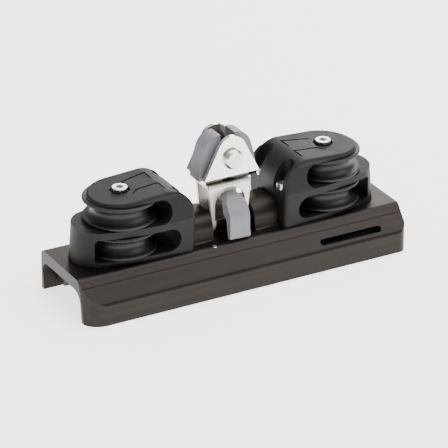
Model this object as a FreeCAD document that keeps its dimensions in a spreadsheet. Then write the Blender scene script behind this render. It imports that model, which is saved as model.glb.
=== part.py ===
import FreeCAD, Part
import Sketcher
import math
import os

# Mainsheet traveller car: a long anodised channel that rolls along a track on two loops of balls,
# with a two-sheave block at each end and a tilting, swivelling stainless toggle in the middle.
# Millimetres; X along the track, Y across it, +Z up; the origin is the middle of the underside.

Vector = FreeCAD.Vector
SHEET = "Sizes"
SIZES = {
    # car: a channel with a ridge along its middle
    "car_half_length": 114.0, "car_half_width": 37.1, "channel_half_width": 25.9,
    "channel_height": 20.5, "channel_round": 8.0, "skirt_height": 14.4, "skirt_round": 3.5,
    "plateau_height": 28.5, "plateau_half_width": 23.9, "plateau_round": 4.0,
    "left_corner_round": 14.0, "right_corner_round": 6.5, "foot_half_length": 112.6,
    "ridge_height": 45.2, "ridge_half_width": 15.6, "ridge_shoulder": 14.4, "ridge_round": 10.5, "ridge_half_length": 40.0, "ridge_fillet": 1.8,
    "groove_across": 28.4, "groove_width": 0.7, "groove_depth": 0.45,
    "slot_across": 33.4, "slot_start": 51.5, "slot_end": 96.0, "slot_width": 4.3,
    "slot_depth": 8.5, "port_along": 18.3, "port_across": 22.6, "port_radius": 1.6,
    "port_depth": 6.0,
    # ball races in the skirts
    "race_half_length": 103.0, "race_inner": 16.4, "race_outer": 29.4, "race_foot": 4.0,
    "race_top": 14.2, "race_play": 0.2, "ball_radius": 3.175, "ball_height": 9.0,
    "channel_radius": 3.3, "loop_across": 21.9, "loop_radius": 4.0, "loop_half_length": 86.0,
    "ball_count": 50, "race_screw_along": 98.5, "race_screw_across": 27.0,
    "race_screw_seat": 6.2, "race_screw_recess": 0.3, "race_screw_head_radius": 2.5,
    "race_screw_key": 2.0, "race_screw_key_depth": 1.4, "race_sink_radius": 2.7,
    "port_key": 1.5, "port_key_depth": 1.6, "slack": 0.1, "cutter": 1.0, "cutter_half_width": 30.0,
    # end blocks
    "axle_along": 72.1, "block_inner": 31.6, "block_shoulder": 52.0, "block_tail": 94.0,
    "base_nose": 106.2, "base_half_inner": 22.4, "base_half_shoulder": 21.4,
    "base_half_tail": 15.7, "deck_nose": 103.9, "deck_half_inner": 24.0,
    "deck_half_shoulder": 24.1, "deck_half_tail": 16.8, "side_round": 160.0,
    "base_top": 31.6, "deck_underside": 47.2, "deck_top": 51.9, "cheek_underside": 67.2,
    "cheek_half_width": 20.9, "crown_height": 71.2, "crown_start": 49.5,
    "crown_round": 18.0, "crown_fall": 3.2, "crest_round": 1.6, "sheave_room": 24.3, "lower_window_end": 97.2,
    "lower_window_inner": 41.8, "upper_window_inner": 47.6, "ridge_play": 0.6,
    "alcove_floor": 51.4, "alcove_across": 13.6, "alcove_half_width": 5.2, "alcove_depth": 37.6,
    "block_screw_along": 36.0, "block_screw_across": 12.6, "recess_radius": 6.3,
    "recess_floor": 68.4, "mark_width": 1.3, "mark_depth": 0.6, "block_edge_round": 3.0,
    "window_round": 2.5,
    # screws, shared by the car, blocks and toggle
    "small_screw_radius": 1.5, "small_thread": 5.0, "block_screw_radius": 2.5, "thread_play": 0.04,
    # sheaves, bushes and axles
    "sheave_radius": 23.5, "sheave_bore": 13.5, "sheave_height": 14.4, "rope_round": 5.3,
    "lower_sheave_foot": 32.2, "upper_sheave_foot": 52.35, "bush_height": 15.0,
    "sleeve_radius": 4.9, "sleeve_bore": 3.1, "running_play": 0.05, "axle_radius": 3.0,
    "axle_end": 21.5,
    # toggle: a stirrup that tilts on the hinge pin and a fork that swivels on it
    "toggle_along": 0.0, "pocket_half_length": 14.8, "trough_radius": 9.8,
    "hinge_height": 36.0, "hinge_radius": 4.0, "hinge_half_length": 22.0,
    "strap": 2.5, "stirrup_inner": 6.7, "stirrup_half_length": 14.9, "stirrup_waist": 11.4,
    "stirrup_foot": 26.0, "stirrup_top": 62.0, "stirrup_web": 2.8, "stirrup_bend": 2.0,
    "arch_radius": 10.6, "arch_foot": 38.0, "arch_spring": 48.6, "rivet_radius": 3.5,
    "rivet_head_radius": 5.6, "rivet_sink": 1.8, "rivet_sink_radius": 5.3,
    "rivet_head_height": 2.3, "rivet_head_round": 1.0,
    "washer_radius": 8.6, "washer_height": 0.8, "fork_half_width": 12.0,
    "fork_half_length": 19.5, "fork_foot_half_length": 16.6, "fork_strap": 2.7, "fork_bend": 5.0,
    "fork_corner": 67.6, "fork_flare": 6.0, "eye_height": 79.7, "cheek_round": 9.81,
    "cheek_centre": 84.66, "cheek_tangent_along": 8.7, "cheek_tangent_height": 89.2,
    "clevis_radius": 4.0, "clevis_head_radius": 6.6, "clevis_head_height": 3.6,
    "clevis_tail": 18.0, "ring_along": 15.6, "ring_radius": 7.4, "ring_wire": 0.9,
    "pad_half_width": 5.8, "pad_gap": 4.9, "pad_eye_round": 9.4, "pad_foot_along": 20.2,
    "pad_foot_rise": 3.0, "pad_shoulder_along": 16.6, "pad_shoulder_height": 85.0,
    "pad_flank_round": 90.0, "pad_top_along": 10.2, "pad_top_height": 93.2, "pad_top_round": 13.0,
    "pad_peak": 94.0, "pad_rivet_round": 6.4, "pad_rivet_height": 4.0,
    # stand-up tongue at the near side of the toggle
    "tongue_along": -1.0, "tongue_half_length": 7.0, "tongue_foot_inner": 11.0,
    "tongue_foot_outer": 21.4, "tongue_foot_top": 31.8, "tongue_foot_length": 9.0,
    "tongue_face": 24.2, "tongue_end": 30.3, "tongue_top": 56.6, "tongue_shoulder": 5.0,
    "tongue_screw_along": 3.5, "tongue_screw_across": 14.4,
}

doc = FreeCAD.newDocument("traveller_car")
sheet = doc.addObject("Spreadsheet::Sheet", SHEET)
for row, (alias, number) in enumerate(SIZES.items(), 1):
    sheet.set(f"A{row}", alias)
    sheet.set(f"B{row}", str(number))
    sheet.setAlias(f"B{row}", alias)
doc.recompute()


class Length:
    """A size in mm that carries the expression which ties it to the sheet."""

    def __init__(self, value, text):
        self.value = value
        self.text = text

    def __add__(self, other):
        other = length(other)
        return Length(self.value + other.value, f"({self.text} + {other.text})")

    def __sub__(self, other):
        other = length(other)
        return Length(self.value - other.value, f"({self.text} - {other.text})")

    def __mul__(self, factor):
        return Length(self.value * factor, f"({self.text} * {factor})")

    def __truediv__(self, factor):
        return Length(self.value / factor, f"({self.text} / {factor})")

    def __neg__(self):
        return Length(-self.value, f"(0 - {self.text})")

    def __radd__(self, other):
        return length(other) + self

    def __rsub__(self, other):
        return length(other) - self


class Sizes:
    """Reads a cell of the sheet by its alias, such as size.strap."""

    def __getattr__(self, alias):
        return Length(float(sheet.get(alias)), f"{SHEET}.{alias}")


def length(number):
    return number if isinstance(number, Length) else Length(float(number), str(float(number)))


def bind(thing, prop, amount):
    """Gives a property its size, tied to the sheet."""
    thing.setExpression(prop, length(amount).text)


def place(thing, x=0, y=0, z=0, turn=None):
    spot = [length(amount) for amount in (x, y, z)]
    base = Vector(*(amount.value for amount in spot))
    thing.Placement = FreeCAD.Placement(base, turn or FreeCAD.Rotation())
    for axis, amount in zip("xyz", spot):
        if SHEET in amount.text:
            bind(thing, f"Placement.Base.{axis}", amount)
    return thing


size = Sizes()
TURNS = {
    "x": FreeCAD.Rotation(Vector(0, 1, 0), 90),
    "y": FreeCAD.Rotation(Vector(1, 0, 0), -90),
    "z": FreeCAD.Rotation(),
}


def box(name, x, y, z):
    """A block between two limits along each axis."""
    part = doc.addObject("Part::Box", name)
    for prop, (low, high) in (("Length", x), ("Width", y), ("Height", z)):
        bind(part, prop, high - length(low))
    return place(part, x[0], y[0], z[0])


def along_axis(part, axis, limits, across):
    bind(part, "Height", limits[1] - length(limits[0]))
    low = limits[0]
    spot = {"x": (low, *across), "y": (across[0], low, across[1]), "z": (*across, low)}
    return place(part, *spot[axis], TURNS[axis])


def rod(name, radius, axis, limits, across=(0, 0)):
    """A cylinder between two limits along an axis; across is its place on the other two axes."""
    part = doc.addObject("Part::Cylinder", name)
    bind(part, "Radius", radius)
    return along_axis(part, axis, limits, across)


def cone(name, low_radius, high_radius, axis, limits, across=(0, 0)):
    part = doc.addObject("Part::Cone", name)
    bind(part, "Radius1", low_radius)
    bind(part, "Radius2", high_radius)
    return along_axis(part, axis, limits, across)


def ball(name, radius, x, y, z):
    part = doc.addObject("Part::Sphere", name)
    bind(part, "Radius", radius)
    return place(part, x, y, z)


def fuse(name, *parts):
    whole = doc.addObject("Part::MultiFuse", name)
    whole.Shapes = list(parts)
    return whole


def common(name, *parts):
    whole = doc.addObject("Part::MultiCommon", name)
    whole.Shapes = list(parts)
    return whole


def cut(name, base, *tools):
    whole = doc.addObject("Part::Cut", name)
    whole.Base = base
    whole.Tool = tools[0] if len(tools) == 1 else fuse(f"{name}_tools", *tools)
    return whole


def group(name, parts):
    whole = doc.addObject("Part::Compound", name)
    whole.Links = list(parts)
    return whole


def mirrored(name, source, normal):
    image = doc.addObject("Part::Mirroring", name)
    image.Source = source
    image.Normal = normal
    return image


def rounded(name, base, radius, chosen):
    """Rounds the edges of base that chosen picks by the point at each edge's middle."""
    doc.recompute()
    part = doc.addObject("Part::Fillet", name)
    part.Base = base
    amount = length(radius).value
    edges = []
    for number, edge in enumerate(base.Shape.Edges, 1):
        middle = edge.valueAt((edge.FirstParameter + edge.LastParameter) / 2)
        if chosen(middle, edge):
            edges.append((number, amount, amount))
    part.Edges = edges
    return part


def near(point, **wanted):
    """True where each wanted coordinate (x, y, z or their sizes ax, ay) is within 0.3 mm."""
    found = {"x": point.x, "y": point.y, "z": point.z, "ax": abs(point.x), "ay": abs(point.y)}
    return all(abs(found[axis] - length(value).value) < 0.3 for axis, value in wanted.items())


def both_sides(half, crown=()):
    """Closes a half outline with its mirror image; crown is the arc that joins the two halves."""
    image = []
    for index in reversed(range(len(half))):
        bend = half[index + 1][2:] if index + 1 < len(half) else crown
        image.append((-length(half[index][0]), half[index][1], *bend))
    return [*half, *image]


def arc_between(start, end, radius, side):
    """The short arc of a radius from start to end, bulging right for side 1 and left for -1."""
    chord = end - start
    right = Vector(chord.y, -chord.x, 0).normalize()
    reach = math.sqrt(max(radius ** 2 - chord.Length ** 2 / 4, 0))
    return Part.Arc(start, (start + end) / 2 + right * side * (radius - reach), end)


def outline(body, role, points, lift=0):
    """A closed sketch through (x, y) points; (x, y, radius, side) is reached by an arc."""
    sketch = body.newObject("Sketcher::SketchObject", f"{body.Name}_sketch")
    plane = next(item for item in body.Origin.OriginFeatures if item.Role == role)
    sketch.AttachmentSupport = [(plane, "")]
    sketch.MapMode = "FlatFace"
    sketch.AttachmentOffset = FreeCAD.Placement(Vector(0, 0, length(lift).value), FreeCAD.Rotation())
    bind(sketch, "AttachmentOffset.Base.z", lift)
    spots = [(length(point[0]), length(point[1])) for point in points]
    corners = [Vector(across.value, up.value, 0) for across, up in spots]
    tails, heads = [], []
    for index, point in enumerate(points):
        start, end = corners[index - 1], corners[index]
        if len(point) == 2:
            sketch.addGeometry(Part.LineSegment(start, end))
        else:
            bend = length(point[2])
            sketch.addGeometry(arc_between(start, end, bend.value, point[3]))
            hold(sketch, bend, "Radius", index)
        forward = sketch.getPoint(index, 2).isEqual(end, 1e-6)
        heads.append(2 if forward else 1)
        tails.append(1 if forward else 2)
    for index, (across, up) in enumerate(spots):
        following = (index + 1) % len(spots)
        join = Sketcher.Constraint("Coincident", index, heads[index], following, tails[following])
        sketch.addConstraint(join)
        hold(sketch, across, "DistanceX", -1, 1, index, heads[index])
        hold(sketch, up, "DistanceY", -1, 1, index, heads[index])
    return sketch


def hold(sketch, amount, kind, *where):
    """Adds one dimension to a sketch and ties it to the sheet."""
    number = sketch.addConstraint(Sketcher.Constraint(kind, *where, amount.value))
    if SHEET in amount.text:
        sketch.setExpression(f"Constraints[{number}]", amount.text)


def pad(name, role, points, low, high):
    """An outline in one plane, extruded between two limits along that plane's axis."""
    body = doc.addObject("PartDesign::Body", name)
    start = -length(high) if role == "XZ_Plane" else low
    sketch = outline(body, role, points, start)
    feature = body.newObject("PartDesign::Pad", f"{name}_pad")
    feature.Profile = sketch
    bind(feature, "Length", high - length(low))
    return body


def loft(name, low_points, low, high_points, high):
    """A body whose walls run straight from one level outline to another."""
    body = doc.addObject("PartDesign::Body", name)
    foot = outline(body, "XY_Plane", low_points, low)
    top = outline(body, "XY_Plane", high_points, high)
    feature = body.newObject("PartDesign::AdditiveLoft", f"{name}_loft")
    feature.Profile = foot
    feature.Sections = [top]
    feature.Ruled = True
    return body


def turned(name, points):
    """An outline of radius and height, revolved about the vertical axis."""
    body = doc.addObject("PartDesign::Body", name)
    sketch = outline(body, "XZ_Plane", points)
    feature = body.newObject("PartDesign::Revolution", f"{name}_turn")
    feature.Profile = sketch
    feature.ReferenceAxis = (sketch, ["V_Axis"])
    feature.Angle = 360
    return body


def hexagon(name, across_flats, axis, limits, spot=(0, 0)):
    """A hexagonal socket's inside."""
    prism = doc.addObject("Part::Prism", name)
    prism.Polygon = 6
    bind(prism, "Circumradius", length(across_flats) / math.sqrt(3))
    return along_axis(prism, axis, limits, spot)


SIDES = {"left": -1, "right": 1}
WAYS = {"near": -1, "far": 1}
nodes = []


def node(label, part):
    part.Label = label
    nodes.append(part)
    return part


def socket_screw(name, spot, radius, tip, seat, head_radius, head_height, key):
    """A socket-head screw that points down at an (x, y) spot."""
    top = seat + length(head_height)
    shank = rod(f"{name}_shank", radius, "z", (tip, seat), spot)
    head = rod(f"{name}_head", head_radius, "z", (seat, top), spot)
    soft = rounded(f"{name}_soft", head, 0.5, lambda middle, edge: middle.z > top.value - 0.01)
    key_top = top + 0.5
    socket = hexagon(f"{name}_key", key, "z", (top - head_height * 0.6, key_top), spot)
    return cut(f"{name}_screw", fuse(f"{name}_blank", shank, soft), socket)


# ---------------------------------------------------------------- car body

def car_blank():
    """The channel's section along the whole length, with its ridge, trimmed to its plan."""
    round_start = size.channel_half_width - size.channel_round
    round_end = size.channel_height - size.channel_round
    section = pad("channel", "YZ_Plane", both_sides([
        (round_start, size.channel_height),
        (size.channel_half_width, round_end, size.channel_round, -1),
        (size.channel_half_width, 0),
        (size.car_half_width, 0),
        (size.car_half_width, size.skirt_height),
        (size.plateau_half_width, size.plateau_height)]),
        -size.car_half_length, size.car_half_length)
    shoulders = rounded("shoulders", section, size.skirt_round,
                        lambda middle, edge: near(middle, ay=size.car_half_width,
                                                  z=size.skirt_height))
    plateau = rounded("plateau", shoulders, size.plateau_round,
                      lambda middle, edge: near(middle, ay=size.plateau_half_width,
                                                z=size.plateau_height))
    ridge = pad("ridge", "YZ_Plane", ridge_half(0, size.plateau_height - 1.5),
                -size.ridge_half_length, size.ridge_half_length)
    raised = rounded("ridge_foot", fuse("raised", plateau, ridge), size.ridge_fillet, is_ridge_foot)
    plan = pad("plan", "XY_Plane", plan_outline(), -1, size.ridge_height + 1)
    side = pad("side", "XZ_Plane", both_sides([
        (size.foot_half_length, -1),
        (size.foot_half_length, 0),
        (size.car_half_length, size.plateau_height),
        (size.car_half_length, size.ridge_height + 1)]),
        -size.car_half_width - 1, size.car_half_width + 1)
    return common("car_blank", raised, plan, side)


def ridge_half(play, foot):
    """The ridge's section, wider all round by play."""
    shoulder = size.ridge_shoulder + play
    spring = size.ridge_height - size.ridge_round
    return both_sides([
        (size.ridge_half_width + play, foot),
        (shoulder, spring),
        (shoulder - size.ridge_round, size.ridge_height + play, size.ridge_round, 1)])


def is_ridge_foot(middle, edge):
    level = abs(middle.z - SIZES["plateau_height"]) < 0.05
    return level and 14 < abs(middle.y) < 17 and abs(middle.x) < 1


def plan_outline():
    """The plan of the whole car: a rectangle with round corners, tighter at the right end."""
    along = size.car_half_length
    across = size.car_half_width
    left = size.left_corner_round
    right = size.right_corner_round
    return [
        (along - right, across),
        (along, across - right, right, -1),
        (along, right - across),
        (along - right, -across, right, -1),
        (left - along, -across),
        (-along, left - across, left, -1),
        (-along, across - left),
        (left - along, across, left, -1)]


SLOPE = math.atan2(SIZES["plateau_height"] - SIZES["skirt_height"],
                   SIZES["car_half_width"] - SIZES["plateau_half_width"])


def on_slope(part, way, across, along):
    """Places a tool at its own origin on the sloping flank, its Z along the flank's normal."""
    rise = (size.car_half_width.value - across.value) * math.tan(SLOPE)
    lean = FreeCAD.Rotation(Vector(1, 0, 0), -way * math.degrees(SLOPE))
    spot = Vector(length(along).value, way * across.value, size.skirt_height.value + rise)
    part.Placement = FreeCAD.Placement(spot, lean)
    return part


def flank_tools():
    """A thin groove along each flank, and the oblong wash-out slots."""
    tools = []
    for way_name, way in WAYS.items():
        reach = size.car_half_length + 1
        half = size.groove_width / 2
        strip = box(f"groove_{way_name}_strip", (-reach, reach), (-half, half),
                    (-size.groove_depth, 1))
        groove = group(f"groove_{way_name}", [strip])
        tools.append(on_slope(groove, way, size.groove_across, 0))
        radius = size.slot_width / 2
        span = size.slot_end - size.slot_start - size.slot_width
        ends = [rod(f"slot_{way_name}_end_{end}", radius, "z", (-size.slot_depth, 2), (spot, 0))
                for end, spot in enumerate((-span / 2, span / 2))]
        middle = box(f"slot_{way_name}_middle", (-span / 2, span / 2), (-radius, radius),
                     (-size.slot_depth, 2))
        slot = fuse(f"slot_{way_name}", middle, *ends)
        tools.append(on_slope(slot, way, size.slot_across, (size.slot_start + size.slot_end) * -way / 2))
    return tools


def tongue_screw_spot():
    return size.tongue_screw_along, -size.tongue_screw_across


def car_body():
    toggle = size.toggle_along
    small = size.small_screw_radius + size.thread_play
    pocket = (toggle - size.pocket_half_length, toggle + size.pocket_half_length)
    tools = [
        box("pocket", pocket, (-20, 20), (size.plateau_height, size.ridge_height + 1)),
        rod("trough", size.trough_radius, "x", pocket, (0, size.hinge_height)),
        rod("hinge_bore", size.hinge_radius, "x",
            (toggle - size.hinge_half_length, size.ridge_half_length + 1), (0, size.hinge_height)),
        rod("tongue_thread", small, "z",
            (size.plateau_height - size.small_thread, size.plateau_height + 1),
            tongue_screw_spot())]
    for name, way in WAYS.items():
        inner = size.race_inner * way
        outer = (size.race_outer + size.race_play) * way
        across = (inner, outer) if way > 0 else (outer, inner)
        room = size.race_half_length + size.race_play
        tools.append(box(f"race_room_{name}", (-room, room), across,
                         (size.race_foot - size.race_play, size.race_top + size.race_play)))
        tools.append(rod(f"port_{name}", size.port_radius, "z",
                         (size.plateau_height - size.port_depth, size.plateau_height + 1),
                         (size.port_along * way, size.port_across * way)))
        for end_name, end in SIDES.items():
            spot = (size.race_screw_along * end, size.race_screw_across * way)
            tools.append(rod(f"race_thread_{name}_{end_name}", small, "z",
                             (size.race_top - 1, size.race_top + size.small_thread), spot))
            screw = (size.block_screw_along * end, size.block_screw_across * way)
            tools.append(rod(f"block_thread_{name}_{end_name}",
                             size.block_screw_radius + size.thread_play, "z",
                             (size.axle_end, size.ridge_height + 1), screw))
    for name, side in SIDES.items():
        tools.append(rod(f"axle_thread_{name}", size.axle_radius + size.thread_play, "z",
                         (size.axle_end, size.plateau_height + 1), (size.axle_along * side, 0)))
    node("car_body", cut("car_body", car_blank(), *tools, *flank_tools()))


# ---------------------------------------------------------------- ball races

def stadium(name, inset):
    """The ball channel of the far race: a round groove along the loop, open at its load side."""
    reach = size.loop_half_length
    middle = size.loop_across
    tools = []
    for row_name, shift in (("load", -size.loop_radius), ("return", size.loop_radius)):
        tools.append(rod(f"{name}_{row_name}", inset, "x", (-reach, reach),
                         (middle + shift, size.ball_height)))
    for side_name, side in SIDES.items():
        turn = doc.addObject("Part::Torus", f"{name}_turn_{side_name}")
        bind(turn, "Radius1", size.loop_radius)
        bind(turn, "Radius2", inset)
        place(turn, reach * side, middle, size.ball_height)
        low, high = (-reach - 12, -reach) if side < 0 else (reach, reach + 12)
        half = box(f"{name}_half_{side_name}", (low, high), (0, 40), (0, 20))
        tools.append(common(f"{name}_bend_{side_name}", turn, half))
    return tools


def loop_point(travel):
    """The point at a distance along the stadium loop, from the middle of its load side."""
    reach = size.loop_half_length.value
    radius = size.loop_radius.value
    bend = math.pi * radius
    if travel < reach:
        return travel, -radius
    if travel < reach + bend:
        angle = (travel - reach) / radius
        return reach + radius * math.sin(angle), -radius * math.cos(angle)
    if travel < 3 * reach + bend:
        return 2 * reach + bend - travel, radius
    if travel < 3 * reach + 2 * bend:
        angle = (travel - 3 * reach - bend) / radius
        return -reach - radius * math.sin(angle), radius * math.cos(angle)
    return travel - 4 * reach - 2 * bend, -radius


def races_and_balls():
    across = (size.race_inner, size.race_outer)
    spots = [(size.race_screw_along * side, size.race_screw_across) for side in SIDES.values()]
    tray = box("race_tray", (-size.race_half_length, size.race_half_length), across,
               (size.race_foot, size.race_top))
    holes = []
    for number, spot in enumerate(spots):
        holes.append(rod(f"race_hole_{number}", size.small_screw_radius + size.slack, "z",
                         (0, size.channel_height), spot))
        holes.append(rod(f"race_sink_{number}", size.race_sink_radius, "z",
                         (0, size.race_screw_seat), spot))
    far = node("ball_race_far", cut("ball_race_far", tray, *stadium("loop", size.channel_radius),
                                    *holes))
    node("ball_race_near", mirrored("ball_race_near", far, Vector(0, 1, 0)))
    count = int(size.ball_count.value)
    loop = 4 * size.loop_half_length.value + 2 * math.pi * size.loop_radius.value
    balls = []
    for number in range(count):
        along, shift = loop_point(loop * (number + 0.5) / count)
        balls.append(ball(f"ball_{number}", size.ball_radius, along, size.loop_across + shift,
                          size.ball_height))
    row = node("bearing_balls_far", group("bearing_balls_far", balls))
    node("bearing_balls_near", mirrored("bearing_balls_near", row, Vector(0, 1, 0)))


def race_and_port_screws():
    race = []
    ports = []
    for name, way in WAYS.items():
        for end_name, end in SIDES.items():
            spot = (size.race_screw_along * end, size.race_screw_across * way)
            seat = size.race_screw_seat
            shank = rod(f"race_shank_{name}_{end_name}", size.small_screw_radius, "z",
                        (seat, size.race_top + size.small_thread - size.race_play), spot)
            head = rod(f"race_head_{name}_{end_name}", size.race_screw_head_radius, "z",
                       (size.race_foot + size.race_screw_recess, seat), spot)
            socket = hexagon(f"race_key_{name}_{end_name}", size.race_screw_key, "z",
                             (size.race_foot, size.race_foot + size.race_screw_key_depth), spot)
            blank = fuse(f"race_blank_{name}_{end_name}", shank, head)
            race.append(cut(f"race_screw_{name}_{end_name}", blank, socket))
        spot = (size.port_along * way, size.port_across * way)
        foot = size.plateau_height - size.port_depth
        plug = rod(f"port_plug_{name}", size.port_radius, "z",
                   (foot, size.plateau_height - size.slack), spot)
        key = hexagon(f"port_key_{name}", size.port_key, "z",
                      (size.plateau_height - size.port_key_depth,
                       size.plateau_height + size.cutter), spot)
        ports.append(cut(f"port_screw_{name}", plug, key))
    node("race_screws", group("race_screws", race))
    node("port_screws", group("port_screws", ports))


# ---------------------------------------------------------------- end blocks

def block_plan(half_inner, half_shoulder, half_tail, nose):
    """A block's plan at one level: nearly straight sides that close in to a round nose."""
    reach = nose - size.block_tail
    nose_round = Length((reach.value ** 2 + half_tail.value ** 2) / (2 * reach.value),
                        f"(({reach.text} ^ 2 + {half_tail.text} ^ 2) / (2 * {reach.text}))")
    return soft_start(half_inner, [
        (size.block_shoulder, half_shoulder),
        (size.block_tail, half_tail, size.side_round, -1),
        (nose, 0, nose_round, -1),
        (size.block_tail, -half_tail, nose_round, -1),
        (size.block_shoulder, -half_shoulder, size.side_round, -1)])


def soft_start(half, points):
    """Closes a block's plan across its inner end, whose corners are round."""
    inner = size.block_inner
    bend = size.block_edge_round
    return [
        (inner + bend, half, bend, -1),
        *points,
        (inner + bend, -half),
        (inner, bend - half, bend, -1),
        (inner, half - bend)]


def block_core():
    """The block's outer form, before its windows are cut."""
    lower = loft("block_lower",
                 block_plan(size.base_half_inner, size.base_half_shoulder, size.base_half_tail,
                            size.base_nose), size.plateau_height,
                 block_plan(size.deck_half_inner, size.deck_half_shoulder, size.deck_half_tail,
                            size.deck_nose), size.deck_top)
    front = size.block_inner
    back = size.block_shoulder + 2
    width = size.cheek_half_width
    upper = loft("block_upper",
                 soft_start(size.deck_half_inner, [(back, size.deck_half_shoulder),
                                                   (back, -size.deck_half_shoulder)]),
                 size.deck_top,
                 soft_start(width, [(back, width), (back, -width)]),
                 size.cheek_underside)
    cheek = pad("block_cheek", "XY_Plane", [
        (front, width),
        (size.axle_along, width),
        (size.axle_along + width, 0, width, -1),
        (size.axle_along, -width, width, -1),
        (front, -width)],
        size.cheek_underside, size.crown_height + 2)
    side = pad("block_side", "XZ_Plane", [
        (front, size.plateau_height),
        (front, size.crown_height - size.crown_round),
        (size.crown_start, size.crown_height, size.crown_round, -1),
        (size.base_nose + size.cutter, size.crown_height - size.crown_fall),
        (size.base_nose + size.cutter, size.plateau_height)],
        -size.cutter_half_width, size.cutter_half_width)
    crown = rounded("crown_soft", common("crown", cheek, side), size.crest_round, is_crest)
    return fuse("block_form", common("block_walls", fuse("block_rough", lower, upper), side), crown)


def is_crest(middle, edge):
    """The crown's top outline, from its curved inner end round the nose."""
    above = middle.z > SIZES["cheek_underside"] + 1.0
    crossing = abs(middle.y) < 1 and middle.x < SIZES["crown_start"] + 1
    return above and edge.Length > 5 and not crossing


def windows():
    """Both sheave windows, each rounded at its ends, and the round room for its sheave."""
    axle = (size.axle_along, 0)
    tools = []
    levels = {
        "lower": (size.base_top, size.deck_underside, size.lower_window_inner, size.lower_window_end),
        "upper": (size.deck_top, size.cheek_underside, size.upper_window_inner, size.base_nose + 8)}
    for name, (low, high, inner, outer) in levels.items():
        room = rod(f"{name}_room", size.sheave_room, "z", (low, high), axle)
        through = box(f"{name}_window", (inner, outer),
                      (-size.cutter_half_width, size.cutter_half_width), (low, high))
        reach = (high - low).value / 2 - 0.4
        soft = rounded(f"{name}_window_inner", through, reach,
                       lambda middle, edge, end=inner: near(middle, x=end, y=0))
        tools += [room, rounded(f"{name}_window_soft", soft, size.window_round,
                                lambda middle, edge, end=outer: near(middle, x=end, y=0))]
    return tools


MARKS = {"far": [(66.2, 8.9), (48.9, 12.4), (48.9, 4.1)],
         "near": [(67.7, -9.9), (63.4, -5.7), (48.4, -4.6), (48.4, -13.0)]}


def stroke(name, start, end):
    """An upright wall of a mark's width, from one point of the plan to another."""
    run = Vector(*end, 0) - Vector(*start, 0)
    half = size.mark_width / 2
    wall = group(name, [box(f"{name}_wall", (-half, half + run.Length), (-half, half), (60, 80))])
    wall.Placement = FreeCAD.Placement(Vector(*start, 0), FreeCAD.Rotation(Vector(1, 0, 0), run))
    return wall


def crown_marks():
    """Shallow plain lines on the crown, either side of its middle."""
    run = size.base_nose + 1 - size.crown_start
    fall = math.degrees(math.atan2(size.crown_fall.value, run.value))
    skin = group("mark_skin", [box("mark_depth", (-5, 40), (-20, 20), (-size.mark_depth, 5))])
    top = Vector(size.crown_start.value, 0, size.crown_height.value)
    skin.Placement = FreeCAD.Placement(top, FreeCAD.Rotation(Vector(0, 1, 0), fall))
    strokes = [stroke(f"mark_{name}_{number}", *ends) for name, points in MARKS.items()
               for number, ends in enumerate(zip(points, points[1:]))]
    return common("crown_marks", fuse("mark_walls", *strokes), skin)


def block_tools():
    axle = (size.axle_along, 0)
    top = size.crown_height + 4
    tools = windows()
    tools.append(pad("ridge_room", "YZ_Plane", ridge_half(size.ridge_play, size.plateau_height - 2),
                     size.block_inner - 2, size.ridge_half_length + size.ridge_play))
    tools.append(rod("sleeve_bore", size.sleeve_radius, "z", (size.base_top, size.cheek_underside),
                     axle))
    tools.append(rod("axle_bore", size.sleeve_bore, "z", (size.plateau_height - 1, top), axle))
    tools.append(rod("axle_recess", size.recess_radius, "z", (size.recess_floor, top), axle))
    for name, way in WAYS.items():
        half = size.alcove_half_width
        across = size.alcove_across * way
        tools.append(rod(f"alcove_round_{name}", half, "z", (size.alcove_floor, top),
                         (size.alcove_depth, across)))
        tools.append(box(f"alcove_{name}", (size.block_inner - 2, size.alcove_depth),
                         (across - half, across + half), (size.alcove_floor, top)))
        tools.append(rod(f"block_hole_{name}", 2.6, "z", (size.plateau_height - 1, top),
                         (size.block_screw_along, size.block_screw_across * way)))
    return [*tools, crown_marks()]


def blocks():
    right = node("block_right", cut("block_right", block_core(), *block_tools()))
    node("block_left", mirrored("block_left", right, Vector(1, 0, 0)))
    screws = []
    for side_name, side in SIDES.items():
        for way_name, way in WAYS.items():
            spot = (size.block_screw_along * side, size.block_screw_across * way)
            screws.append(socket_screw(f"block_{side_name}_{way_name}", spot, size.block_screw_radius,
                                       size.axle_end + 0.2, size.alcove_floor, 4.2, 4.2, 4.0))
    node("block_screws", group("block_screws", screws))


# ---------------------------------------------------------------- sheaves and axles

def sheave(label, side, foot):
    """A rope sheave with a round groove, its lips softened."""
    lip = 1.0
    radius = size.sheave_radius
    top = size.sheave_height
    groove_low = top / 2 - size.rope_round
    groove_high = top / 2 + size.rope_round
    throat = radius - 0.9
    body = turned(label, [
        (size.sheave_bore, 0),
        (radius - lip, 0),
        (radius, lip, lip, 1),
        (radius, lip + 0.4),
        (throat, groove_low),
        (throat - size.rope_round, top / 2, size.rope_round, -1),
        (throat, groove_high, size.rope_round, -1),
        (radius, top - lip - 0.4),
        (radius, top - lip),
        (radius - lip, top, lip, 1),
        (size.sheave_bore, top)])
    node(label, place(body, size.axle_along * side, 0, foot))


def bush(label, side, foot):
    """The sheave's plain bearing, a little taller than the sheave so that it takes the wear."""
    low = foot + (size.sheave_height - size.bush_height) / 2
    limits = (low, low + size.bush_height)
    spot = (size.axle_along * side, 0)
    outer = rod(f"{label}_outer", size.sheave_bore, "z", limits, spot)
    inner = rod(f"{label}_inner", size.sleeve_radius + size.running_play, "z", limits, spot)
    node(label, cut(label, outer, inner))


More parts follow.
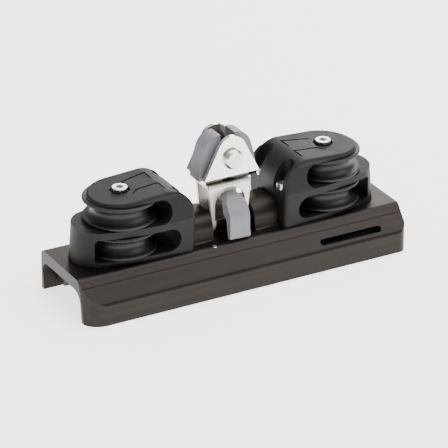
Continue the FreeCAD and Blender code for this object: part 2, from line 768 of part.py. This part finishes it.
def sheaves_and_axles():
    feet = {"lower": size.lower_sheave_foot, "upper": size.upper_sheave_foot}
    screws = []
    for side_name, side in SIDES.items():
        for level, foot in feet.items():
            sheave(f"sheave_{side_name}_{level}", side, foot)
            bush(f"sheave_bush_{side_name}_{level}", side, foot)
        spot = (size.axle_along * side, 0)
        limits = (size.base_top, size.cheek_underside)
        label = f"axle_sleeve_{side_name}"
        tube = rod(f"{label}_tube", size.sleeve_radius, "z", limits, spot)
        node(label, cut(label, tube, rod(f"{label}_bore", size.sleeve_bore, "z", limits, spot)))
        screws.append(socket_screw(f"axle_{side_name}", spot, size.axle_radius, size.axle_end + 0.2,
                                   size.recess_floor, 5.0, 3.7, 5.0))
    node("axle_screws", group("axle_screws", screws))


# ---------------------------------------------------------------- toggle

def stirrup_ring(name, radius, top, bend):
    """A band's outline across the hinge: round below the hinge axis, square above."""
    axis = size.hinge_height
    return pad(name, "YZ_Plane", [
        (radius, axis, radius, 1),
        (radius, top - bend),
        (radius - bend, top, bend, 1),
        (bend - radius, top),
        (-radius, top - bend, bend, 1),
        (-radius, axis),
        (0, axis - radius, radius, 1)],
        size.toggle_along - size.stirrup_half_length, size.toggle_along + size.stirrup_half_length)


def stirrup():
    """A band round the hinge, drawn in towards its foot, with an arched window at its near side."""
    toggle = size.toggle_along
    inner = size.stirrup_inner
    top = size.stirrup_top
    web = top - size.stirrup_web
    outer_ring = stirrup_ring("stirrup_outer", inner + size.strap, top, size.stirrup_bend)
    inner_ring = stirrup_ring("stirrup_inner", inner, web, length(1.0))
    front = pad("stirrup_front", "XZ_Plane", [
        (toggle - size.stirrup_waist, size.stirrup_foot),
        (toggle + size.stirrup_waist, size.stirrup_foot),
        (toggle + size.stirrup_half_length, top),
        (toggle - size.stirrup_half_length, top)],
        -15, 15)
    arch = pad("stirrup_arch", "XZ_Plane", [
        (toggle - size.arch_radius, size.arch_foot),
        (toggle + size.arch_radius, size.arch_foot),
        (toggle + size.arch_radius, size.arch_spring),
        (toggle, size.arch_spring + size.arch_radius, size.arch_radius, 1),
        (toggle - size.arch_radius, size.arch_spring, size.arch_radius, 1)],
        -15, 0)
    spot = (toggle, 0)
    bore = rod("rivet_bore", size.rivet_radius, "z", (web - 1, top + 1), spot)
    sink = cone("rivet_sink", size.rivet_sink_radius, size.rivet_radius, "z",
                (web, web + size.rivet_sink), spot)
    band = common("stirrup_band", cut("stirrup_loop", outer_ring, inner_ring), front)
    node("toggle_stirrup", cut("toggle_stirrup", band, arch, bore, sink))


def hinge_parts():
    toggle = size.toggle_along
    level = (0, size.hinge_height)
    pin = rod("hinge_pin_rod", size.hinge_radius - 0.03, "x",
              (toggle - size.hinge_half_length + 0.2, toggle + size.hinge_half_length), level)
    node("hinge_pin", rounded("hinge_pin", pin, 0.6, lambda middle, edge: "Circle" in str(edge.Curve)))
    limits = (toggle - size.stirrup_waist, toggle + size.stirrup_waist)
    outer = rod("hinge_bush_outer", size.stirrup_inner, "x", limits, level)
    inner = rod("hinge_bush_inner", size.hinge_radius + 0.02, "x", limits, level)
    node("hinge_bush", cut("hinge_bush", outer, inner))


def rivet_and_washer():
    spot = (size.toggle_along, 0)
    web = size.stirrup_top - size.stirrup_web
    fork_foot = size.stirrup_top + size.washer_height + size.running_play
    fork_top = fork_foot + size.fork_strap
    shank = rod("rivet_shank", size.rivet_radius, "z", (web, fork_top + size.slack), spot)
    lower = cone("rivet_lower", size.rivet_sink_radius, size.rivet_radius, "z",
                 (web, web + size.rivet_sink), spot)
    crest = fork_top + size.rivet_head_height
    upper = rod("rivet_upper", size.rivet_head_radius, "z",
                (fork_top + size.running_play, crest), spot)
    soft = rounded("rivet_soft", upper, size.rivet_head_round,
                   lambda middle, edge: near(middle, z=crest))
    node("swivel_rivet", fuse("swivel_rivet", shank, lower, soft))
    limits = (size.stirrup_top, size.stirrup_top + size.washer_height)
    disc = rod("washer_disc", size.washer_radius, "z", limits, spot)
    node("swivel_washer", cut("swivel_washer", disc,
                              rod("washer_bore", size.rivet_radius, "z", limits, spot)))


def fork():
    """A strip bent into a U, its cheeks drawn in to a round top above the clevis pin."""
    toggle = size.toggle_along
    foot = size.stirrup_top + size.washer_height + size.running_play
    half = size.fork_half_width
    crest = size.cheek_centre + size.cheek_round
    top = crest + 2
    limits = (toggle - size.fork_half_length, toggle + size.fork_half_length)
    bend = size.fork_bend
    outer = pad("fork_outer", "YZ_Plane", both_sides([
        (half - bend, foot), (half, foot + bend), (half, top)]), *limits)
    thin = size.fork_strap
    mitre = thin * math.tan(math.pi / 8)
    inner = pad("fork_inner", "YZ_Plane", both_sides([
        (half - bend - mitre, foot + thin),
        (half - thin, foot + bend + mitre),
        (half - thin, top + 1)]), *limits)
    face = pad("fork_face", "XZ_Plane", [
        (toggle - size.fork_foot_half_length, foot, size.fork_flare, -1),
        (toggle + size.fork_foot_half_length, foot),
        (toggle + size.fork_half_length, size.fork_corner, size.fork_flare, -1),
        (toggle + size.cheek_tangent_along, size.cheek_tangent_height),
        (toggle, crest, size.cheek_round, 1),
        (toggle - size.cheek_tangent_along, size.cheek_tangent_height, size.cheek_round, 1),
        (toggle - size.fork_half_length, size.fork_corner)],
        -half, half)
    bent = common("fork_bent", cut("fork_channel", outer, inner), face)
    bore = rod("fork_bore", size.rivet_radius + size.running_play, "z", (foot - 1, foot + thin + 1),
               (toggle, 0))
    eye = rod("fork_eye", size.clevis_radius, "y", (-half - 1, half + 1), (toggle, size.eye_height))
    node("toggle_fork", cut("toggle_fork", bent, bore, eye))


def fork_pads():
    """Plastic guards at both ends of the fork, hollowed round the clevis pin."""
    toggle = size.toggle_along
    foot = size.stirrup_top + size.washer_height + size.running_play + size.fork_strap
    half = size.pad_half_width
    blank = pad("pad_blank", "XZ_Plane", [
        (toggle + size.pad_foot_along, foot),
        (toggle + size.pad_foot_along, foot + size.pad_foot_rise),
        (toggle + size.pad_shoulder_along, size.pad_shoulder_height, size.pad_flank_round, 1),
        (toggle + size.pad_top_along, size.pad_top_height, size.pad_top_round, 1),
        (toggle + size.pad_gap, size.pad_peak, size.pad_top_round, 1),
        (toggle + size.pad_gap, foot)],
        -half, half)
    eye = rod("pad_eye", size.pad_eye_round, "y", (-half - 1, half + 1), (toggle, size.eye_height))
    room = rod("pad_rivet_room", size.pad_rivet_round, "z",
               (foot - size.cutter, foot + size.pad_rivet_height), (toggle, 0))
    right = node("fork_pad_right", cut("fork_pad_right", blank, eye, room))
    image = mirrored("fork_pad_left", right, Vector(1, 0, 0))
    image.Base = Vector(toggle.value, 0, 0)
    node("fork_pad_left", image)


def clevis():
    """The clevis pin with its coned head, and the split ring through its tail."""
    toggle = size.toggle_along
    level = (toggle, size.eye_height)
    half = size.fork_half_width
    face = -half - size.running_play
    outer = face - size.clevis_head_height
    shank = rod("clevis_shank", size.clevis_radius, "y", (face, size.clevis_tail), level)
    head = cone("clevis_head", size.clevis_head_radius - 1.6, size.clevis_head_radius, "y",
                (outer, outer + 1.8), level)
    collar = rod("clevis_collar", size.clevis_head_radius, "y", (outer + 1.8, face), level)
    centre = size.eye_height - size.ring_radius
    hole = ring_solid("ring_hole", size.ring_wire + 0.1, centre)
    node("clevis_pin", cut("clevis_pin", fuse("clevis_blank", shank, head, collar), hole))
    node("clevis_ring", ring_solid("clevis_ring", size.ring_wire, centre))


def ring_solid(name, wire, centre):
    ring = doc.addObject("Part::Torus", name)
    bind(ring, "Radius1", size.ring_radius)
    bind(ring, "Radius2", wire)
    return place(ring, size.toggle_along, size.ring_along, centre, TURNS["y"])


def tongue():
    """A springy plastic tongue that stands the toggle up, on a narrow foot screwed to the car."""
    along = size.tongue_along
    half = size.tongue_half_length
    floor = size.plateau_height
    face = -size.tongue_face
    top = size.tongue_top
    shoulder = size.tongue_shoulder
    profile = pad("tongue_profile", "YZ_Plane", [
        (face + 3.2, size.tongue_end),
        (-18.8, 42.4),
        (-15.4, 44.4),
        (-13.8, 49.4),
        (-8.2, 54.0, 9, -1),
        (-9.4, 56.8, 1.8, 1),
        (-18.4, 52.4, 15, 1),
        (face + 0.2, 43.6, 11, 1),
        (face, size.tongue_end + 1),
        (face + 1, size.tongue_end, 1, 1)],
        along - half, along + half)
    front = pad("tongue_front", "XZ_Plane", [
        (along - half, floor),
        (along + half, floor),
        (along + half, top - shoulder),
        (along + half - shoulder, top, shoulder, 1),
        (along, top),
        (along - half, top - half, half, 1)],
        -size.cutter_half_width, 0)
    spot = tongue_screw_spot()
    foot = box("tongue_foot", (along, along + size.tongue_foot_length),
               (-size.tongue_foot_outer, -size.tongue_foot_inner), (floor, size.tongue_foot_top))
    hole = rod("tongue_hole", size.small_screw_radius + 0.1, "z", (floor - 1, floor + 5), spot)
    blank = fuse("tongue_blank", common("tongue_stem", profile, front), foot)
    node("tongue", cut("tongue", blank, hole))
    node("tongue_screw", socket_screw("tongue", spot, size.small_screw_radius,
                                      floor - size.small_thread + size.race_play,
                                      size.tongue_foot_top, 2.6, 1.6, 2.0))


def export():
    """Checks every object, then writes one file per sub-part."""
    doc.recompute()
    failed = [thing.Name for thing in doc.Objects if {"Invalid", "Error"} & set(thing.State)]
    if failed:
        raise RuntimeError("failed objects: " + ", ".join(failed))
    os.makedirs("parts", exist_ok=True)
    for part in nodes:
        if part.Shape.isNull() or not part.Shape.isValid() or part.Shape.Volume <= 0:
            raise RuntimeError("bad shape: " + part.Label)
    for part in nodes:
        part.Shape.exportStep(f"parts/{part.Label}.step")


car_body()
races_and_balls()
race_and_port_screws()
blocks()
sheaves_and_axles()
stirrup()
hinge_parts()
rivet_and_washer()
fork()
fork_pads()
clevis()
tongue()
export()
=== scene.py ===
import math

import bpy
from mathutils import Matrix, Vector

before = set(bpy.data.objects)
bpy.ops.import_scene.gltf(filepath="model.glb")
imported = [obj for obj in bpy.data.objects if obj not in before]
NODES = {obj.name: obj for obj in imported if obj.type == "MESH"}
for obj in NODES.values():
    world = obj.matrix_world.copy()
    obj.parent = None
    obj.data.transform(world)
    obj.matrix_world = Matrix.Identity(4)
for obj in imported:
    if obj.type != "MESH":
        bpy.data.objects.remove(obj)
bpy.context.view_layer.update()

# A mainsheet traveller car on a pale studio floor. Metres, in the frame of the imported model:
# +X along the track, +Y across it, away from the camera, and +Z up.

MM = 0.001
SHEAVES = [f"sheave_{side}_{level}" for side in ("left", "right") for level in ("lower", "upper")]
AXLE = 72.1 * MM            # the sheave axles stand this far from the middle, along X
GROOVE = 17.5 * MM          # a sheave is smoothest inside this radius
RIM = 22.5 * MM             # and dullest outside this one
PIN_HEIGHT = 79.7 * MM      # the clevis pin's axis
PATCH_TOP = 38.2 * MM       # the painted shade patch below the stirrup's arch reaches up to here
PATCH_HALF_WIDTH = 9.8 * MM

# Bevel width in mm and segments for the nodes whose edges look softer than their CAD shape.
SOFT_EDGES = {
    "toggle_fork": (0.9, 3), "toggle_stirrup": (0.5, 2), "tongue": (0.8, 3),
    "fork_pad_left": (0.8, 3), "fork_pad_right": (0.8, 3), "clevis_pin": (0.25, 2),
    "axle_screws": (0.15, 2), "block_screws": (0.15, 2)}
SOFT_ANGLE = math.radians(32)
WELD_GAP = 1e-6

EYE = Vector((-0.8657, -1.5670, 0.9006))
TARGET = Vector((0.0008, 0.0, 0.0294))
LENS_MM = 255.3
SENSOR_MM = 36.0
MIDDLE = (0.0, 0.0, 0.04)

# The tent's brightness by the height of the direction looked in, from the horizon to straight up.
TENT = ((0.0, 0.62), (0.06, 0.62), (0.16, 0.16), (0.34, 0.20), (0.55, 0.95), (1.0, 1.0))
# Its brightness by how far to the right that direction points: dimmer on the left.
TENT_SIDE = {"From Min": -0.9, "From Max": 0.1, "To Min": 0.45, "To Max": 1.0}


# ---------------------------------------------------------------- materials

class Shader:
    """A procedural material: one Principled shader and the nodes that feed it."""

    def __init__(self, name, colour, roughness, metallic=0.0):
        self.material = bpy.data.materials.new(name)
        self.material.use_nodes = True
        self.tree = self.material.node_tree
        self.bsdf = self.tree.nodes["Principled BSDF"]
        self.set("Base Color", (*colour, 1.0))
        self.set("Roughness", roughness)
        self.set("Metallic", metallic)
        self.place = self.add("ShaderNodeTexCoord").outputs["Object"]

    def set(self, socket, value):
        self.bsdf.inputs[socket].default_value = value

    def add(self, kind, inputs=None, **settings):
        node = self.tree.nodes.new(kind)
        for name, value in settings.items():
            setattr(node, name, value)
        for socket, value in (inputs or {}).items():
            self.feed(node.inputs[socket], value)
        return node

    def feed(self, socket, value):
        if isinstance(value, bpy.types.NodeSocket):
            self.tree.links.new(value, socket)
        else:
            socket.default_value = value

    def drive(self, socket, value):
        """Feeds one of the Principled shader's own sockets."""
        self.feed(self.bsdf.inputs[socket], value)

    def stretched(self, scale):
        """Object coordinates scaled on each axis, for grain that runs one way."""
        return self.add("ShaderNodeMapping", {"Vector": self.place, "Scale": scale}).outputs[0]

    def noise(self, scale, detail=2.0, roughness=0.5, place=None):
        inputs = {"Vector": place or self.place, "Scale": scale, "Detail": detail,
                  "Roughness": roughness}
        return self.add("ShaderNodeTexNoise", inputs).outputs["Fac"]

    def math(self, operation, first, second=0.0):
        node = self.add("ShaderNodeMath", operation=operation)
        self.feed(node.inputs[0], first)
        self.feed(node.inputs[1], second)
        return node.outputs[0]

    def span(self, value, low, high, start=0.0, end=1.0):
        """Carries value from one range to another and stops at its ends."""
        inputs = {"Value": value, "From Min": start, "From Max": end, "To Min": low, "To Max": high}
        return self.add("ShaderNodeMapRange", inputs).outputs[0]

    def blend(self, factor, first, second):
        node = self.add("ShaderNodeMix", data_type="RGBA")
        self.feed(node.inputs[0], factor)
        self.feed(node.inputs[6], first if hasattr(first, "node") else (*first, 1.0))
        self.feed(node.inputs[7], second if hasattr(second, "node") else (*second, 1.0))
        return node.outputs[2]

    def bump(self, height, distance, strength=1.0, normal=None):
        inputs = {"Height": height, "Distance": distance, "Strength": strength}
        if normal:
            inputs["Normal"] = normal
        return self.add("ShaderNodeBump", inputs).outputs[0]


def anodised():
    """Hard-anodised extrusion: drawn lines along X, a fine dull grain and slight cloudiness."""
    look = Shader("car_anodised", (0.075, 0.068, 0.062), 0.42, 0.97)
    lines = look.noise(1.0, 3.0, 0.6, look.stretched((6, 2600, 2600)))
    streaks = look.noise(1.0, 2.0, 0.5, look.stretched((3, 300, 300)))
    cloud = look.noise(28, 3.0)
    grain = look.noise(5200, 1.0)
    tone = look.math("ADD", look.math("MULTIPLY", streaks, 0.6), look.math("MULTIPLY", cloud, 0.4))
    look.drive("Base Color", look.blend(look.span(tone, 0, 1, 0.3, 0.7),
                                        (0.0235, 0.0202, 0.0188), (0.0330, 0.0285, 0.0266)))
    look.drive("Roughness", look.span(look.math("ADD", lines, look.math("MULTIPLY", cloud, 0.5)),
                                      0.36, 0.50, 0.4, 1.1))
    fine = look.bump(lines, 0.02 * MM, 0.5)
    look.drive("Normal", look.bump(grain, 0.012 * MM, 0.5, fine))
    return look.material


def moulded(name, low, high, roughness, texture=0.03):
    """Moulded plastic: a fine spark texture and soft flow mottling."""
    look = Shader(name, high, roughness)
    mottle = look.noise(60, 4.0, 0.6)
    speck = look.noise(1400, 2.0, 0.7)
    spark = look.noise(2600, 2.0, 0.6)
    tone = look.math("ADD", look.math("MULTIPLY", mottle, 0.7), look.math("MULTIPLY", speck, 0.3))
    look.drive("Base Color", look.blend(look.span(tone, 0, 1, 0.35, 0.65), low, high))
    look.drive("Roughness", look.span(mottle, roughness - 0.05, roughness + 0.06, 0.3, 0.7))
    look.drive("Normal", look.bump(spark, texture * MM, 0.7))
    look.set("Specular IOR Level", 0.22)
    return look


def turned_black(name, centre):
    """A moulded and turned sheave: fine lathe rings about its axle, smoother towards the groove."""
    look = Shader(name, (0.012, 0.012, 0.014), 0.30)
    local = look.add("ShaderNodeVectorMath", {0: look.place, 1: (centre, 0.0, 0.0)},
                     operation="SUBTRACT").outputs[0]
    parts = look.add("ShaderNodeSeparateXYZ", {0: local})
    flat = look.add("ShaderNodeCombineXYZ", {0: parts.outputs[0], 1: parts.outputs[1]}).outputs[0]
    radius = look.add("ShaderNodeVectorMath", {0: flat}, operation="LENGTH").outputs["Value"]
    ring = look.add("ShaderNodeCombineXYZ", {0: radius, 1: parts.outputs[2]}).outputs[0]
    turning = look.noise(2600, 2.0, 0.6, ring)
    scuff = look.noise(70, 2.0, 0.5)
    polish = look.span(radius, 0.0, 1.0, GROOVE, RIM)
    look.drive("Base Color", look.blend(look.span(scuff, 0, 1, 0.4, 0.7),
                                        (0.0075, 0.0072, 0.009), (0.0105, 0.010, 0.0125)))
    dull = look.math("ADD", look.span(polish, 0.44, 0.48), look.span(scuff, -0.02, 0.03, 0.3, 0.7))
    look.drive("Roughness", dull)
    look.drive("Normal", look.bump(turning, 0.012 * MM, 0.6))
    look.set("Specular IOR Level", 0.42)
    return look.material


def polished_steel(name, roughness, metallic=1.0, painted_shade_patch=False):
    """Polished stainless: forming waves, fine wipe marks, and painted shade on faces that look
    down.

    The painted shade patch is dark paint on the stirrup's near side, below its arch. It is painted
    shade where the real opening seems to run on down to the hinge, while the CAD node is solid.
    """
    bright = (0.85, 0.80, 0.725)
    look = Shader(name, bright, roughness, metallic)
    wave = look.noise(45, 2.0, 0.5)
    wipe = look.noise(1.0, 3.0, 0.6, look.stretched((900, 900, 70)))
    marks = look.math("ADD", look.math("MULTIPLY", wipe, 0.6), look.math("MULTIPLY", wave, 0.4))
    look.drive("Roughness", look.span(marks, roughness * 0.7, roughness * 1.4, 0.35, 0.65))
    normal = look.add("ShaderNodeNewGeometry").outputs["True Normal"]
    rise = look.add("ShaderNodeSeparateXYZ", {0: normal}).outputs[2]
    # Painted shade: faces that look down are darkened towards dark grey.
    tone = look.blend(look.span(rise, 1.0, 0.0, -0.7, -0.25), bright, (0.20, 0.195, 0.19))
    # Painted shade: the stirrup's near side below its arch is darkened to near black, standing in
    # for an opening.
    if painted_shade_patch:
        along, across, height = look.add("ShaderNodeSeparateXYZ", {0: look.place}).outputs[:3]
        low = look.span(height, 1.0, 0.0, PATCH_TOP - 0.3 * MM, PATCH_TOP + 0.3 * MM)
        between = look.span(look.math("ABSOLUTE", along), 1.0, 0.0,
                            PATCH_HALF_WIDTH - 0.4 * MM, PATCH_HALF_WIDTH + 0.4 * MM)
        near = look.span(across, 1.0, 0.0, -1.0 * MM, 0.0)
        mask = look.math("MULTIPLY", look.math("MULTIPLY", low, between), near)
        tone = look.blend(mask, tone, (0.012, 0.011, 0.011))
    look.drive("Base Color", tone)
    soft = look.bump(wave, 0.3 * MM, 0.12)
    look.drive("Normal", look.bump(wipe, 0.004 * MM, 0.25, soft))
    return look.material


def satin_steel():
    """Machined stainless fasteners."""
    look = Shader("stainless_satin", (0.66, 0.64, 0.61), 0.24, 1.0)
    mark = look.noise(900, 3.0, 0.6)
    look.drive("Roughness", look.span(mark, 0.18, 0.34, 0.35, 0.65))
    look.drive("Base Color", look.blend(look.span(mark, 0, 1, 0.35, 0.65),
                                        (0.60, 0.58, 0.55), (0.72, 0.70, 0.67)))
    look.drive("Normal", look.bump(look.noise(2400, 2.0), 0.01 * MM, 0.4))
    return look.material


def turned_steel():
    """The clevis pin: turned rings round its own axis, so the coned head shows fans of light."""
    look = Shader("clevis_turned", (0.70, 0.68, 0.65), 0.22, 1.0)
    local = look.add("ShaderNodeVectorMath", {0: look.place, 1: (0.0, 0.0, PIN_HEIGHT)},
                     operation="SUBTRACT").outputs[0]
    parts = look.add("ShaderNodeSeparateXYZ", {0: local})
    flat = look.add("ShaderNodeCombineXYZ", {0: parts.outputs[0], 1: parts.outputs[2]}).outputs[0]
    radius = look.add("ShaderNodeVectorMath", {0: flat}, operation="LENGTH").outputs["Value"]
    rings = look.add("ShaderNodeCombineXYZ", {0: radius, 1: parts.outputs[1]}).outputs[0]
    turning = look.noise(3400, 2.0, 0.6, rings)
    tangent = look.add("ShaderNodeTangent", direction_type="RADIAL", axis="Y").outputs[0]
    look.drive("Tangent", tangent)
    look.set("Anisotropic", 0.75)
    look.drive("Roughness", look.span(turning, 0.20, 0.32, 0.35, 0.65))
    look.drive("Normal", look.bump(turning, 0.012 * MM, 0.5))
    return look.material


def acetal(name, colour):
    """Plain acetal with a faint haze."""
    look = Shader(name, colour, 0.35)
    haze = look.noise(400, 3.0)
    look.drive("Roughness", look.span(haze, 0.30, 0.42, 0.35, 0.65))
    look.drive("Base Color", look.blend(look.span(haze, 0, 1, 0.35, 0.65), colour,
                                        tuple(value * 1.12 for value in colour)))
    return look.material


def grey_plastic():
    """The guards and the tongue: mid-grey plastic with a light moulded texture."""
    look = moulded("grey_plastic", (0.190, 0.192, 0.210), (0.222, 0.224, 0.241), 0.42, 0.02)
    look.set("Coat Weight", 0.12)
    look.set("Coat Roughness", 0.35)
    return look.material


def dress(names, material):
    """Gives each named node one material."""
    for name in names:
        mesh = NODES[name].data
        mesh.materials.clear()
        mesh.materials.append(material)


def soften(name, width, segments):
    """Rounds a node's hard edges a little, with modifiers only."""
    thing = NODES[name]
    weld = thing.modifiers.new("weld", "WELD")
    weld.merge_threshold = WELD_GAP
    edge = thing.modifiers.new("edge", "BEVEL")
    edge.width = width * MM
    edge.segments = segments
    edge.limit_method = "ANGLE"
    edge.angle_limit = SOFT_ANGLE
    edge.use_clamp_overlap = True
    edge.harden_normals = False
    shade = thing.modifiers.new("shade", "WEIGHTED_NORMAL")
    shade.keep_sharp = True
    thing.data.shade_smooth()


def dress_everything():
    """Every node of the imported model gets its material."""
    composite = moulded("block_composite", (0.0076, 0.0062, 0.0070), (0.0112, 0.0094, 0.0106), 0.52)
    steel = satin_steel()
    polished = polished_steel("stainless_polished", 0.10)
    # The formed stirrup carries the painted shade patch below its arch.
    formed = polished_steel("stainless_formed", 0.30, 0.5, painted_shade_patch=True)
    off_white = acetal("bearing_acetal", (0.60, 0.58, 0.53))
    grey = grey_plastic()
    dress(["car_body"], anodised())
    dress(["block_left", "block_right"], composite.material)
    for name in SHEAVES:
        centre = -AXLE if "left" in name else AXLE
        dress([name], turned_black(f"{name}_turned", centre))
        dress([name.replace("sheave_", "sheave_bush_")], off_white)
    dress(["ball_race_near", "ball_race_far"], acetal("race_acetal", (0.03, 0.03, 0.031)))
    dress(["bearing_balls_near", "bearing_balls_far"], off_white)
    dress(["toggle_fork", "swivel_rivet", "clevis_ring"], polished)
    dress(["toggle_stirrup"], formed)
    dress(["clevis_pin"], turned_steel())
    dress(["hinge_pin", "axle_screws", "block_screws", "race_screws", "port_screws",
           "tongue_screw", "axle_sleeve_left", "axle_sleeve_right"], steel)
    dress(["swivel_washer", "hinge_bush"], acetal("washer_acetal", (0.03, 0.03, 0.03)))
    dress(["fork_pad_left", "fork_pad_right", "tongue"], grey)


# ---------------------------------------------------------------- stage, light and camera

def floor():
    """A wide pale sweep that the car stands on."""
    bpy.ops.mesh.primitive_plane_add(size=12, location=(0, 0, 0))
    sheet = bpy.context.object
    sheet.name = "studio_floor"
    look = Shader("studio_floor", (0.88, 0.88, 0.88), 0.75)
    look.drive("Base Color", look.blend(look.noise(3, 2.0), (0.875, 0.875, 0.875),
                                        (0.885, 0.885, 0.885)))
    look.set("Emission Color", (1.0, 1.0, 1.0, 1.0))
    look.set("Emission Strength", 2.1)
    sheet.data.materials.append(look.material)


def softbox(name, place, width, height, power, colour=(1.0, 1.0, 1.0)):
    """A rectangular lamp that points at the middle of the car."""
    data = bpy.data.lights.new(name, "AREA")
    data.shape = "RECTANGLE"
    data.size = width
    data.size_y = height
    data.energy = power
    data.color = colour
    lamp = bpy.data.objects.new(name, data)
    lamp.location = place
    lamp.rotation_euler = (Vector(MIDDLE) - Vector(place)).to_track_quat("-Z", "Y").to_euler()
    bpy.context.scene.collection.objects.link(lamp)


def lights():
    """A white tent: bright overhead, darker low down and to the left, so steel and black read."""
    world = bpy.data.worlds.new("studio")
    world.use_nodes = True
    tree = world.node_tree
    back = tree.nodes["Background"]
    place = tree.nodes.new("ShaderNodeTexCoord")
    split = tree.nodes.new("ShaderNodeSeparateXYZ")
    ramp = tree.nodes.new("ShaderNodeValToRGB")
    tree.links.new(place.outputs["Generated"], split.inputs[0])
    tree.links.new(split.outputs[2], ramp.inputs[0])
    tree.links.new(ramp.outputs[0], back.inputs[0])
    for position, level in TENT[1:-1]:
        ramp.color_ramp.elements.new(position)
    for element, (position, level) in zip(ramp.color_ramp.elements, TENT):
        element.color = (level, level, level, 1.0)
    side = tree.nodes.new("ShaderNodeMapRange")
    tree.links.new(split.outputs[0], side.inputs["Value"])
    for socket, value in TENT_SIDE.items():
        side.inputs[socket].default_value = value
    tree.links.new(side.outputs[0], back.inputs[1])
    bpy.context.scene.world = world
    softbox("overhead", (0.2, 0.0, 1.5), 1.5, 1.2, 25.0)
    softbox("key", (1.0, -0.7, 1.2), 0.8, 0.8, 10.0)
    softbox("rim", (1.1, 1.3, 0.75), 1.1, 0.6, 15.0, (1.0, 0.98, 0.95))
    softbox("front", (-0.6, -1.7, 0.35), 0.9, 0.35, 1.0, (1.0, 0.95, 0.88))


def camera():
    """A long lens from the left, above and in front."""
    data = bpy.data.cameras.new("camera")
    data.lens = LENS_MM
    data.sensor_width = SENSOR_MM
    eye = bpy.data.objects.new("camera", data)
    eye.location = EYE
    eye.rotation_euler = (TARGET - EYE).to_track_quat("-Z", "Y").to_euler()
    bpy.context.scene.collection.objects.link(eye)
    bpy.context.scene.camera = eye


dress_everything()
for name, (width, segments) in SOFT_EDGES.items():
    soften(name, width, segments)
floor()
lights()
camera()
